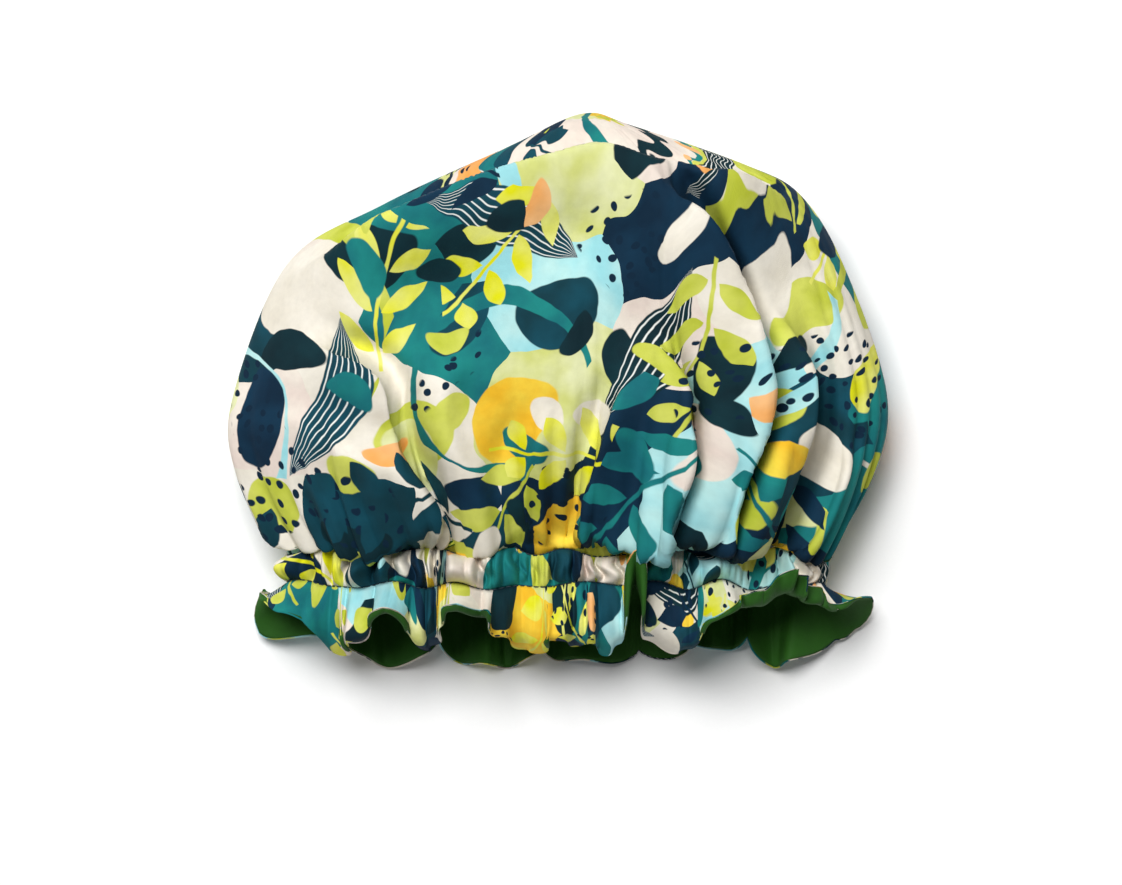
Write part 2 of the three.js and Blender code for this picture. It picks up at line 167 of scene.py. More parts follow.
def rowPlaces(around, seed, y):
    # A stitch row round the mouth's oval, as the gathers ripple it
    section = mouthSection(around)
    out = outOf(section)
    shown = mix(0.3, 1, smoothStep(out[:, 1], -0.3, 0.5))
    section = section + out * (mouth["pleatDepth"] * (pleats(around) - 0.5) * shown)[:, None]
    drift = mouth["rowDrift"] * wander(around, seed, 21) * shown
    height = np.maximum(section[:, 1], mouth["clearance"])
    return np.stack([section[:, 0], y + drift, height], axis=1)


def upperRow(around):
    return rowPlaces(around, 3, 0)


def lowerRow(around):
    return rowPlaces(around, 5, -casingWidth)


def pieceFrom(name, bm):
    mesh = bpy.data.meshes.new(name)
    bm.to_mesh(mesh)
    bm.free()
    piece = bpy.data.objects.new(name, mesh)
    bpy.context.collection.objects.link(piece)
    return piece


def ringMesh(name, points, flat):
    # A mesh from rows of points that close round a ring, with the flat cloth's places as its UV
    rows, columns = points.shape[:2]
    bm = bmesh.new()
    bmesh.ops.create_grid(bm, x_segments=columns, y_segments=rows - 1, size=1)
    uvLayer = bm.loops.layers.uv.new("flat")
    rowLayer = bm.verts.layers.float.new("row")
    columnLayer = bm.verts.layers.float.new("column")
    placed = (points + mouthPlace) / 1000
    bm.verts.ensure_lookup_table()
    for index, vert in enumerate(bm.verts):
        row, column = divmod(index, columns + 1)
        vert.co = placed[row, column % columns]
        vert[rowLayer] = row
        vert[columnLayer] = column % columns
    bm.verts.index_update()
    for face in bm.faces:
        for loop in face.loops:
            row, column = divmod(loop.vert.index, columns + 1)
            loop[uvLayer].uv = flat[row, column] / 1000
        face.smooth = True
    bmesh.ops.remove_doubles(bm, verts=bm.verts, dist=1e-7)
    bmesh.ops.reverse_faces(bm, faces=bm.faces)
    return pieceFrom(name, bm)


def gridPlaces(piece):
    # Row and column of each of a ring mesh's points
    places = []
    for name in ("row", "column"):
        values = np.empty(len(piece.data.vertices))
        piece.data.attributes[name].data.foreach_get("value", values)
        places.append(values.round().astype(int))
    return places


crown = {
    "outline": [
        (-mouth["width"] / 2, 0), (-139, 34), (-142, 66), (-119, 124.5), (-77, 151), (-20, 177.5),
        (11, 191.5), (33, 186), (83, 168.5), (107, 155), (126, 124), (145, 68), (139, 31),
        (mouth["width"] / 2, 0),
    ],
    "height": 84,
    "edgeHeight": 30,
    "peakHeight": 24,
    "riseLength": 32,
    "settleLength": 30,
    "fallStart": 90,
    "roundness": 0.95,
    "bottomRoundness": 0.45,
    "columns": 208,
    "rows": 118,
    "lastShare": 0.955,
    "rowSpread": 1.15,
    "gatherDepth": 13,
    "shortReach": 28,
    "longReach": 58,
    "fineShare": 0.4,
    "fineReach": 14,
    "sag": 13,
    "sagReach": 22,
    "peakFade": (0.89, 0.95),
    "printFollows": 0.35,
    "gatherReach": 60,
    "liningFolds": 0.5,
    "liningDepth": 0.9,
    "liningDrop": 14,
    "liningShort": 4,
    "flatAcross": 0.4,
}
crownLength = max(y for x, y in crown["outline"])


def crownGrid(around, shares):
    outline = catmullRom(crown["outline"], 800)
    peak = int(np.argmax(outline[:, 1]))
    left = evenly(outline[: peak + 1], shares)
    right = evenly(outline[peak:][::-1], shares)
    grid = np.empty((len(shares), len(around), 3))
    front = np.empty((len(shares), len(around)))
    for i, share in enumerate(shares):
        along = share * crownLength
        rise = math.tanh(along / crown["riseLength"])
        fallen = np.clip((along - crown["fallStart"]) / (crownLength - crown["fallStart"]), 0, 1)
        edge = mix(mix(mouthMiddle, crown["edgeHeight"], rise), crown["peakHeight"], fallen**2)
        top = edge + math.sqrt(1 - fallen**2) * (mix(mouth["top"], crown["height"], rise) - edge)
        floor = mix(mouth["bottom"], -0.5, smoothStep(along, 0, crown["settleLength"]))
        bottom = edge - (edge - floor) * math.sqrt(1 - fallen**4)
        across = right[i] - left[i]
        section = ovalSection(
            around, np.linalg.norm(across) / 2, top, edge, bottom,
            mix(mouth["roundness"], crown["roundness"], rise),
            mix(mouth["roundness"], crown["bottomRoundness"], rise),
        )
        direction = across / np.linalg.norm(across)
        grid[i, :, :2] = (left[i] + right[i]) / 2 + direction * section[:, :1]
        grid[i, :, 2] = section[:, 1]
        front[i] = np.clip((section[:, 1] - edge) / (top - edge), 0, 1)
    grid[0] = upperRow(around)
    # Front and back meet along the outline over the peak
    start = int(np.abs(outline[:peak] - left[-1]).sum(axis=1).argmin())
    end = peak + int(np.abs(outline[peak:] - right[-1]).sum(axis=1).argmin())
    way = np.minimum(around, 1 - around) * 2
    grid[-1, :, :2] = evenly(outline[start : end + 1][::-1], way)
    grid[-1, :, 2] = crown["peakHeight"]
    front[-1] = 0
    return grid, front


# Folds of the crown's front, each a line seen from above from its soft end to the casing, with the
# height of its ridge, its reach to the left and right, the depth of a valley on its steeper side, and
# how far its ridge leans to the right.
crownFolds = [
    {"line": [(30, 162), (46, 148), (60, 134), (72, 112), (80, 84), (82, 62), (72, 32), (62, 4)],
     "rise": 19, "left": 34, "right": 4, "valley": 15, "lean": 10},
    {"line": [(40, 96), (48, 68), (50, 42), (44, 22), (34, 3)],
     "rise": 15, "left": 14, "right": 4, "valley": 13, "lean": 8},
    {"line": [(92, 106), (104, 78), (104, 52), (92, 24), (78, 3)],
     "rise": 15, "left": 12, "right": 5, "valley": 12, "lean": 7},
    {"line": [(96, 58), (86, 30), (70, 3)], "rise": 11, "left": 8, "right": 5, "valley": 9, "lean": 4},
    {"line": [(132, 48), (118, 22), (98, 3)], "rise": 9, "left": 10, "right": 6, "valley": 5, "lean": 3},
    {"line": [(32, 78), (24, 46), (18, 22), (14, 3)],
     "rise": 12, "left": 5, "right": 12, "valley": 10, "lean": -5},
    {"line": [(-2, 62), (-12, 40), (-14, 20), (-12, 3)],
     "rise": 7, "left": 6, "right": 12, "valley": 5, "lean": 0},
    {"line": [(-34, 92), (-48, 72), (-48, 50), (-34, 24), (-24, 3)],
     "rise": 6, "left": 18, "right": 9, "valley": 3, "lean": 0},
    {"line": [(-116, 92), (-98, 80), (-82, 70), (-78, 52), (-66, 22), (-56, 3)],
     "rise": 12, "left": 26, "right": 6, "valley": 11, "lean": 6},
    {"line": [(-126, 62), (-96, 42), (-72, 28), (-62, 12)],
     "rise": 6, "left": 9, "right": 7, "valley": 4, "lean": 2},
]

# What all folds share: the part of a line over which its fold grows, its valley's place in steep reaches
# from the ridge, how far the lean goes behind and ahead of the ridge, and how far the fold is crisp
foldLook = {"growth": 0.3, "valleyPlace": 2.2, "leanReach": (8, 3), "crispReach": 9}

crownDents = [
    {"middle": (-52, 110), "depth": 13, "radius": 34},
    {"middle": (2, 134), "depth": 7, "radius": 24},
    {"middle": (98, 112), "depth": 6, "radius": 26},
    {"middle": (34, 96), "depth": 3, "radius": 20},
]

crownRoll = {
    "line": [(-123, 113), (-93, 128), (-67, 140), (-32, 154), (0, 163), (19, 167), (39, 161), (60, 157),
             (86, 153), (105, 149)],
    "drop": 0.62,
    "width": 4,
    "lean": 9,
    "rise": 10,
    "leftGrowth": 0.2,
    "rightGrowth": 0.15,
    "leanReach": (9, 3),
    "riseReach": (16, 4),
    "crispReach": 12,
}


def nearLine(line, x, y, steps=160):
    # How far each place is from a line seen from above, where along it, and which way is right
    points = catmullRom(line, steps)
    gap = np.full(x.shape, np.inf)
    nearest = np.zeros(x.shape, int)
    for index, (lineX, lineY) in enumerate(points):
        here = np.hypot(x - lineX, y - lineY)
        nearest = np.where(here < gap, index, nearest)
        gap = np.minimum(here, gap)
    ahead = np.gradient(points, axis=0)
    toRight = unit(np.stack([-ahead[:, 1], ahead[:, 0]], axis=1))[nearest]
    side = (x - points[nearest, 0]) * toRight[..., 0] + (y - points[nearest, 1]) * toRight[..., 1]
    return gap, nearest / steps, side, toRight


def foldCrown(grid, front, around, along, strength):
    # The crown with its folds, gathers and sag. Strength 1 is the outer cloth, and less gives the
    # rounder folds of the cloth inside it. Also gives the shape before its gathers, and how crisp
    # its folds are.
    x = grid[..., 0]
    y = grid[..., 1]
    rise = np.zeros_like(x)
    crisp = np.zeros_like(x)
    shift = np.zeros(x.shape + (2,))
    for fold in crownFolds:
        gap, share, side, toRight = nearLine(fold["line"], x, y)
        reach = np.where(side < 0, fold["left"], fold["right"])
        fade = smoothStep(share, 0, foldLook["growth"])
        rise += strength * fade * fold["rise"] * np.exp(-2 * (gap / reach) ** 2)
        steep = min(fold["left"], fold["right"])
        ahead = side * (1 if fold["right"] < fold["left"] else -1)
        trough = bell((gap - foldLook["valleyPlace"] * steep) / steep)
        rise -= np.where(ahead > 0, fade * fold["valley"] * trough, 0)
        leanReach = np.where(ahead < 0, *foldLook["leanReach"])
        lean = fade * fold["lean"] * bell(gap / leanReach)
        shift += lean[..., None] * toRight
        crease = fade * (fold["lean"] != 0) * bell(gap / foldLook["crispReach"])
        crisp = np.maximum(crisp, crease)
    for dent in crownDents:
        gap = np.hypot(x - dent["middle"][0], y - dent["middle"][1])
        rise -= dent["depth"] * np.exp(-2 * (gap / dent["radius"]) ** 2)
    gap, share, past, outside = nearLine(crownRoll["line"], x, y)
    ends = smoothStep(share, 0, crownRoll["leftGrowth"]) * smoothStep(1 - share, 0, crownRoll["rightGrowth"])
    beyond = ends * smoothStep(past, -1, crownRoll["width"])
    leanReach = np.where(past < 0, *crownRoll["leanReach"])
    lean = ends * crownRoll["lean"] * bell(gap / leanReach)
    shift += lean[..., None] * outside
    shift *= max(0, 2 * strength - 1)
    riseReach = np.where(past < 0, *crownRoll["riseReach"])
    rise += strength * ends * crownRoll["rise"] * bell(gap / riseReach)
    crisp = np.maximum(crisp, ends * bell(gap / crownRoll["crispReach"]))
    fadeStart, fadeEnd = crown["peakFade"]
    peak = smoothStep(along, fadeStart * crownLength, fadeEnd * crownLength)
    weight = smoothStep(front, 0, 0.6) * (smoothStep(along, 0, 8) * (1 - peak))[:, None]
    edge = grid[:, :1, 2]
    height = np.where(front > 0, grid[..., 2] - edge + rise * weight, grid[..., 2] - edge)
    height = np.where(front > 0, height * (1 - crownRoll["drop"] * beyond), height)
    folded = grid.copy()
    folded[..., :2] += shift * weight[..., None]
    folded[..., 2] = np.maximum(edge + height, 0)
    creased = folded.copy()
    reach = mix(crown["shortReach"], crown["longReach"], smoothStep(x, -50, 50))
    reach = reach * np.clip(0.75 + 0.6 * wander(around, 61, 20), 0.3, 1.5)
    coarse = (pleats(around) - 0.5)[None] * np.exp(-along[:, None] / reach)
    fine = (gathers(around, 2 * mouth["pleats"], 23) - 0.5)[None]
    fine = fine * np.exp(-along / crown["fineReach"])[:, None]
    growth = mix(0.3, 1, smoothStep(along, 0, 9)) * (1 - peak)
    depth = growth[:, None] * crown["gatherDepth"] * (coarse + crown["fineShare"] * fine)
    lift = mix(0.35, 1, smoothStep(front, 0, 0.25))
    folded[1:] += (outward(folded) * (depth * lift)[..., None])[1:]
    sag = crown["sag"] * np.clip(0.5 + 0.5 * wander(around, 19, 14), 0.05, 1.3)
    near = smoothStep(along, 0, 7) * bell(along / crown["sagReach"])
    folded[..., 1] -= sag * near[:, None] * smoothStep(front, 0, 0.5)
    folded[..., 2] = np.maximum(folded[..., 2], 0)
    return creased, folded, crisp * weight


def outward(grid):
    # Outward directions of a ring of points
    girth = np.roll(grid, -1, axis=1) - np.roll(grid, 1, axis=1)
    length = np.gradient(grid, axis=0)
    normal = np.cross(length, girth)
    return normal / np.maximum(np.linalg.norm(normal, axis=2, keepdims=True), 1e-9)


def lengthsRound(grid, middle):
    # Length round each row from its front's middle column, with the first column once more at the end
    closed = np.concatenate([grid, grid[:, :1]], axis=1)
    steps = np.linalg.norm(np.diff(closed, axis=1), axis=2)
    way = np.concatenate([np.zeros((len(grid), 1)), np.cumsum(steps, axis=1)], axis=1)
    return way - way[:, middle : middle + 1]


def columnLengths(grid):
    lengths = np.linalg.norm(np.diff(grid, axis=0), axis=2)
    return np.concatenate([np.zeros((1, grid.shape[1])), np.cumsum(lengths, axis=0)])


def flatPlaces(way, along):
    # Where each point lies on the flat cloth: its way round from the front's middle, and its way along
    along = np.concatenate([along, along[:, :1]], axis=1)
    return np.stack(np.broadcast_arrays(way, along), axis=2)


def stripPlaces(way, along):
    # The same for a strip, whose rows each have one way along
    return np.stack(np.broadcast_arrays(way, along[:, None]), axis=2)


def ofOne(operation):
    return lambda field: field.math(operation, field)


def ofTwo(operation):
    return lambda field, other: field.math(operation, field, other)


def ofTwoTurned(operation):
    return lambda field, other: field.math(operation, other, field)


class Field:
    # A node's output, with arithmetic that makes math nodes
    def __init__(self, tree, socket):
        self.tree = tree
        self.socket = socket

    def node(self, kind, settings, sockets):
        made = self.tree.nodes.new(kind)
        for name, value in settings.items():
            setattr(made, name, value)
        for name, value in sockets.items():
            if isinstance(value, Field):
                self.tree.links.new(value.socket, made.inputs[name])
            else:
                made.inputs[name].default_value = value
        return made

    def get(self, made, name):
        return Field(self.tree, made.outputs[name])

    def math(self, operation, first, second=0.0, third=0.0, clamped=False):
        settings = {"operation": operation, "use_clamp": clamped}
        return self.get(self.node("ShaderNodeMath", settings, {0: first, 1: second, 2: third}), 0)

    __add__ = ofTwo("ADD")
    __radd__ = ofTwoTurned("ADD")
    __sub__ = ofTwo("SUBTRACT")
    __rsub__ = ofTwoTurned("SUBTRACT")
    __mul__ = ofTwo("MULTIPLY")
    __rmul__ = ofTwoTurned("MULTIPLY")
    __truediv__ = ofTwo("DIVIDE")
    __abs__ = ofOne("ABSOLUTE")
    sine = ofOne("SINE")
    cosine = ofOne("COSINE")
    root = ofOne("SQRT")
    fraction = ofOne("FRACT")
    atLeast = ofTwo("MAXIMUM")

    def mask(self, soft):
        # 1 where the value is above zero and 0 where it is below, with a soft edge
        return self.math("MULTIPLY_ADD", self, 1 / soft, 0.5, True)


def linearColor(text):
    # A colour written as six hexadecimal digits, as the shader's linear values
    parts = [int(text[k : k + 2], 16) / 255 for k in (0, 2, 4)]
    linear = [c / 12.92 if c <= 0.04045 else ((c + 0.055) / 1.055) ** 2.4 for c in parts]
    return (*linear, 1)


# Each ink of the print, with the tone that it runs to where its wash is thin
inks = {
    "navy": ("08253a", "0d324a"),
    "slate": ("0b3038", "08242c"),
    "sea": ("0f4858", "0c3843"),
    "teal": ("146870", "1b827e"),
    "aqua": ("98d6dc", "b9e4e2"),
    "cream": ("e2dbcb", "ece6d9"),
    "blush": ("e3d3c8", "e9e0d3"),
    "lime": ("b7c03a", "d0d561"),
    "paleLime": ("cdd27c", "e0e3b0"),
    "acid": ("dcdb14", "e2e37e"),
    "gold": ("ebb72a", "f1d548"),
    "orange": ("efa24f", "f3bb80"),
    "white": ("eef0ea", "f6f6f2"),
}

sprigInks = ["acid", "navy", "lime", "sea", "teal", "acid"]

# The print's layers: how far apart a layer's shapes lie, where its scatter starts, the share of its places
# that have a shape, and its inks
printLook = {
    "patches": {
        "size": 48,
        "shift": 3.3,
        "share": 1,
        "waver": 26,
        "waverSize": 44,
        "inks": [
            "cream", "navy", "teal", "sea", "blush", "aqua", "blush", "paleLime", "cream", "teal",
            "cream", "gold", "cream", "aqua",
        ],
    },
    "lobes": {
        "size": 60,
        "shift": 61.3,
        "share": 0.7,
        "inks": ["sea", "cream", "lime", "navy", "gold", "slate", "paleLime", "teal", "cream", "aqua"],
    },
    "beans": {
        "size": 46,
        "shift": 7.7,
        "share": 0.75,
        "inks": ["lime", "navy", "cream", "acid", "slate", "paleLime", "blush", "orange", "sea"],
    },
    "pebbles": {
        "size": 27,
        "shift": 23.9,
        "share": 0.3,
        "inks": ["navy", "cream", "lime", "slate", "orange", "teal", "gold"],
    },
    "arcs": {"size": 86, "shift": 17.7, "share": 0.7, "inks": ["lime", "cream", "aqua", "acid", "teal"]},
    "pods": {"size": 88, "shift": 29.1, "share": 0.55, "inks": ["navy", "sea", "slate"]},
    "sprigs": {"size": 88, "shift": 11.3, "share": 0.8, "inks": sprigInks},
    "topSprigs": {"size": 88, "shift": 53.1, "share": 0.4, "inks": sprigInks},
    "dots": {"size": 7, "shift": 41.9, "share": 0.8},
    "washSize": 20,
    "softEdge": 0.4,
}


def paint(under, mask, over):
    mixed = mask.node("ShaderNodeMix", {"data_type": "RGBA"}, {0: mask, 6: under, 7: over})
    return mask.get(mixed, 2)


def pickColor(value, colors):
    # One of some colours, by a value from 0 to 1
    made = value.node("ShaderNodeValToRGB", {}, {0: value})
    made.color_ramp.interpolation = "CONSTANT"
    stops = made.color_ramp.elements
    while len(stops) < len(colors):
        stops.new(1)
    for index, color in enumerate(colors):
        stops[index].position = index / len(colors)
        stops[index].color = linearColor(color)
    return value.get(made, 0)


def pickInk(value, names, wash):
    # One of some inks, by a value from 0 to 1, with its wash
    full = pickColor(value, [inks[name][0] for name in names])
    thin = pickColor(value, [inks[name][1] for name in names])
    return paint(full, wash, thin)


def noiseAt(x, y, size, detail):
    # Soft noise about zero whose patches are as wide as the size given
    place = x.get(x.node("ShaderNodeCombineXYZ", {}, {0: x / size, 1: y / size}), 0)
    sockets = {"Vector": place, "Scale": 1.0, "Detail": detail}
    return x.get(x.node("ShaderNodeTexNoise", {"noise_dimensions": "2D"}, sockets), 0) - 0.5


def cellsAt(x, y, look):
    # Scattered cells: places from each cell's middle, turned at random, two random values, and 1 where
    # the cell has a shape
    size = look["size"]
    shift = look["shift"]
    place = x.get(x.node("ShaderNodeCombineXYZ", {}, {0: x / size + shift, 1: y / size - 0.6 * shift}), 0)
    settings = {"voronoi_dimensions": "2D", "feature": "F1"}
    made = x.node("ShaderNodeTexVoronoi", settings, {"Vector": place, "Scale": 1.0, "Randomness": 0.8})
    middle = x.get(made, "Position")
    offset = x.node("ShaderNodeVectorMath", {"operation": "SUBTRACT"}, {0: place, 1: middle})
    parts = x.node("ShaderNodeSeparateXYZ", {}, {0: x.get(offset, 0)})
    away, up = x.get(parts, 0) * size, x.get(parts, 1) * size
    chances = x.node("ShaderNodeSeparateColor", {}, {0: x.get(made, "Color")})
    first, second, third = (x.get(chances, k) for k in range(3))
    angle = first * 2 * math.pi
    turnX, turnY = angle.cosine(), angle.sine()
    along = away * turnX + up * turnY
    across = up * turnX - away * turnY
    present = (look["share"] - (first * 7.31).fraction()).mask(0.001)
    return along, across, second, third, present


def patchLayer(x, y, wash, look):
    # Large flat areas with wavering edges
    wideX = x + look["waver"] * noiseAt(x, y, look["waverSize"], 1)
    wideY = y + look["waver"] * noiseAt(y, x, look["waverSize"], 1)
    _, _, chance, _, _ = cellsAt(wideX, wideY, look)
    return pickInk(chance, look["inks"], wash)


def beanLayer(under, x, y, wash, look):
    # Bent rounded shapes
    size = look["size"]
    along, across, chance, bend, present = cellsAt(x, y, look)
    across = across + (bend - 0.5) * along * along * (2.2 / size)
    long = size * (0.3 + 0.14 * chance)
    wide = size * (0.17 + 0.1 * bend)
    reach = (along / long) * (along / long) + (across / wide) * (across / wide)
    shape = ((1 - reach) * (size * 0.1)).mask(printLook["softEdge"])
    return paint(under, shape * present, pickInk(chance, look["inks"], wash))


def arcLayer(under, x, y, wash, look):
    # Broad curved strokes
    size = look["size"]
    along, across, chance, bend, present = cellsAt(x, y, look)
    centre = across + size * (0.35 + 0.2 * bend)
    ring = (along * along + centre * centre).root()
    width = 3.5 + 4.5 * bend - abs(along) * 0.09
    shape = (width - abs(ring - size * (0.4 + 0.2 * bend))).mask(printLook["softEdge"])
    return paint(under, shape * present, pickInk(chance, look["inks"], wash))


def sprigLayer(under, x, y, wash, look):
    # Stems with pairs of pointed leaves, each leaf a lens that leans forward
    size = look["size"]
    along, across, chance, bend, present = cellsAt(x, y, look)
    across = across + (bend - 0.5) * along * along * (1.1 / size)
    pitch = size * 0.2
    step = (along / pitch).fraction() - 0.5
    side = abs(across)
    lean = 0.62
    length = size * 0.25 - abs(along + size * 0.04) * 0.3
    width = size * 0.05
    leafLong = side * math.cos(lean) + step * pitch * math.sin(lean) - length * 0.52
    leafWide = step * pitch * math.cos(lean) - side * math.sin(lean) + size * 0.045
    share = leafLong / (length * 0.55)
    leaf = (width * (1 - share * share) - abs(leafWide)).mask(printLook["softEdge"])
    stem = (0.8 - side).mask(printLook["softEdge"])
    ends = (size * 0.44 - abs(along)).mask(printLook["softEdge"])
    return paint(under, leaf.atLeast(stem) * ends * present, pickInk(chance, look["inks"], wash))


def podLayer(under, x, y, wash, look):
    # Dark pods with fine pale ribs that follow their outline
    size = look["size"]
    along, across, chance, bend, present = cellsAt(x, y, look)
    across = across + (bend - 0.5) * along * along * (1.6 / size)
    share = along / (size * 0.42)
    width = size * 0.13 * (1 - share * share)
    pod = (width - abs(across)).mask(printLook["softEdge"]) * present
    place = abs(across) / width.atLeast(0.5) * 3.5
    rib = abs(place.fraction() - 0.5)
    line = (rib - 0.4).mask(0.12)
    under = paint(under, pod, pickInk(chance, look["inks"], wash))
    return paint(under, pod * line, linearColor(inks["white"][0]))


def dotLayer(under, x, y, look):
    # Clusters of small dark dots
    along, across, chance, bend, present = cellsAt(x, y, look)
    gap = along * along + across * across * (1 + bend)
    dot = (2.1 + 2 * chance - gap).mask(1.2)
    cluster = (noiseAt(x + 300, y, 58, 0) - 0.15).mask(0.01)
    return paint(under, dot * cluster * present, linearColor(inks["navy"][0]))


def placesOf(tree, socket):
    # The three parts of a place, in millimetres
    start = Field(tree, socket)
    parts = start.node("ShaderNodeSeparateXYZ", {}, {0: start})
    return [start.get(parts, k) * 1000 for k in range(3)]


def clothPlace(tree):
    # Places on the flat cloth
    made = tree.nodes.new("ShaderNodeUVMap")
    made.uv_map = "flat"
    return placesOf(tree, made.outputs[0])[:2]


def piecePlace(tree):
    # Places in a piece's own frame
    return placesOf(tree, tree.nodes.new("ShaderNodeTexCoord").outputs["Object"])


weave = {"thread": 0.5, "depth": 0.08, "printCrease": 0.5, "liningCrease": 0.4}


def weaveHeight(x, y):
    # Over and under threads of a plain weave, with slubs
    warp = (x * (2 * math.pi / weave["thread"])).sine()
    weft = (y * (2 * math.pi / weave["thread"])).sine()
    return warp * weft * 0.5 + noiseAt(x, y, 0.9, 2)


def newMaterial(name):
    material = bpy.data.materials.new(name)
    material.use_nodes = True
    return material, material.node_tree, material.node_tree.nodes["Principled BSDF"]


def colorOn(shader, color, roughness, shine):
    color.tree.links.new(color.socket, shader.inputs["Base Color"])
    shader.inputs["Roughness"].default_value = roughness
    shader.inputs["Specular IOR Level"].default_value = shine


def bumpOn(shader, height, strength, depth, under=None):
    # A bump of a depth in millimetres, laid over another if one is given
    sockets = {"Strength": strength, "Distance": depth / 1000, "Height": height}
    if under is not None:
        sockets["Normal"] = under
    bump = height.get(height.node("ShaderNodeBump", {}, sockets), 0)
    height.tree.links.new(bump.socket, shader.inputs["Normal"])
    return bump


def clothBump(x, y, shader, creaseDepth):
    # Weave and small soft creases
    creases = noiseAt(x, y, 15, 3) + 0.5 * noiseAt(x + 60, y, 6, 2)
    fine = bumpOn(shader, weaveHeight(x, y), 0.5, weave["depth"])
    bumpOn(shader, creases, 0.6, creaseDepth, fine)


def printMaterial():
    material, tree, shader = newMaterial("printedCloth")
    flatX, flatY = clothPlace(tree)
    x = flatX + 1.6 * noiseAt(flatX, flatY, 9, 1)
    y = flatY + 1.6 * noiseAt(flatY, flatX, 9, 1)
    wash = noiseAt(flatX, flatY, printLook["washSize"], 2).mask(0.35)
    color = patchLayer(x, y, wash, printLook["patches"])
    color = beanLayer(color, x, y, wash, printLook["lobes"])
    color = beanLayer(color, x, y, wash, printLook["beans"])
    color = arcLayer(color, x, y, wash, printLook["arcs"])
    color = podLayer(color, x, y, wash, printLook["pods"])
    color = sprigLayer(color, x, y, wash, printLook["sprigs"])
    color = beanLayer(color, x, y, wash, printLook["pebbles"])
    color = dotLayer(color, x, y, printLook["dots"])
    color = sprigLayer(color, x, y, wash, printLook["topSprigs"])
    # The ink takes unevenly on the threads
    uneven = 1 + 0.14 * noiseAt(flatX, flatY, 16, 3) + 0.12 * noiseAt(flatX, flatY, 3, 2)
    tone = uneven.get(uneven.node("ShaderNodeCombineXYZ", {}, {0: uneven, 1: uneven, 2: uneven}), 0)
    washed = uneven.node("ShaderNodeVectorMath", {"operation": "MULTIPLY"}, {0: color, 1: tone})
    colorOn(shader, uneven.get(washed, 0), 0.8, 0.15)
    clothBump(flatX, flatY, shader, weave["printCrease"])
    return material


def liningMaterial():
    material, tree, shader = newMaterial("liningCloth")
    x, y = clothPlace(tree)
    worn = 0.5 + noiseAt(x, y, 30, 3)
    colorOn(shader, paint(linearColor("1d4414"), worn, linearColor("336b1f")), 0.7, 0.2)
    clothBump(x, y, shader, weave["liningCrease"])
    return material


def threadMaterial(name, dark, pale):
    # Twisted thread: slanted stripes of light and shade along it
    material, tree, shader = newMaterial(name)
    x, y, z = piecePlace(tree)
    twist = ((x + 0.7 * y + 0.5 * z) * (2 * math.pi / 0.6)).sine() * 0.5 + 0.5
    fuzz = twist + noiseAt(x, y, 0.4, 2)
    colorOn(shader, paint(linearColor(dark), fuzz, linearColor(pale)), 0.75, 0.5)
    bumpOn(shader, twist, 0.6, 0.1)
    return material


def elasticMaterial():
    # Ribs along the elastic, crossed by its knit
    material, tree, shader = newMaterial("whiteElastic")
    x, y = clothPlace(tree)
    ribs = (y * (2 * math.pi / 1.4)).sine() * 0.5 + 0.5
    knit = (x * (2 * math.pi / 0.9)).sine() * 0.5 + 0.5
    height = ribs + 0.5 * knit + noiseAt(x, y, 1.2, 2)
    # The colour follows the height: darker down in the grooves between the ribs and the knit, which is
    # painted shade, and paler on their crests, with some random tone from the noise
    colorOn(shader, paint(linearColor("cfcabf"), height * 0.6, linearColor("f2efe7")), 0.85, 0.5)
    bumpOn(shader, height, 0.7, 0.3)
    return material


def floorMaterial():
    material, tree, shader = newMaterial("paleFloor")
    x, y, _ = piecePlace(tree)
    grain = 0.5 + noiseAt(x, y, 1.5, 3)
    colorOn(shader, paint(linearColor("fcfcfc"), grain, linearColor("ffffff")), 0.9, 0.1)
    return material


bm = bmesh.new()
bmesh.ops.create_grid(bm, x_segments=1, y_segments=1, size=4)
floor = pieceFrom("floor", bm)
floor.data.materials.append(floorMaterial())

around = ringColumns(crown["columns"], crown["columns"])
shares = crown["lastShare"] * np.linspace(0, 1, crown["rows"] + 1) ** crown["rowSpread"]
base, front = crownGrid(around, shares)
along = shares * crownLength
creased, folded, crisp = foldCrown(base, front, around, along, 1)
fullRow = int(np.searchsorted(along, crown["gatherReach"]))
smoother = mix(base, creased, crown["printFollows"])
crownWay = lengthsRound(smoother, crown["columns"] // 2)
crownWay = mix(crownWay[fullRow], crownWay, smoothStep(along, 20, crown["gatherReach"])[:, None])
plainLengths = columnLengths(base)
crownAlong = plainLengths[:, crown["columns"] // 2][:, None] + columnLengths(smoother) - plainLengths
crownOuter = ringMesh("crownOuter", folded, flatPlaces(crownWay, crownAlong))

printed = {"material": printMaterial(), "slot": "printed_cloth", "thickness": 0.3}
lining = {"material": liningMaterial(), "slot": "lining_cloth", "thickness": 0.12}
navyThread = threadMaterial("darkThread", "0c1a22", "24404c")
greenThread = threadMaterial("greenThread", "1d3a16", "356328")


def finishPiece(piece, material, node):
    piece.data.materials.append(material)
    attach(piece, "root")
    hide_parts(node)


def finishCloth(piece, cloth, node, levels=0):
    # Levels says how often the mesh is divided before it gets the cloth's thickness
    finishPiece(piece, cloth["material"], node)
    if levels > 0:
        subdivision = piece.modifiers.new("smooth", "SUBSURF")
        subdivision.levels = levels
        subdivision.render_levels = levels
    shell = piece.modifiers.new("thickness", "SOLIDIFY")
    shell.thickness = cloth["thickness"] / 1000
    shell.offset = -1
    shell.use_rim = True


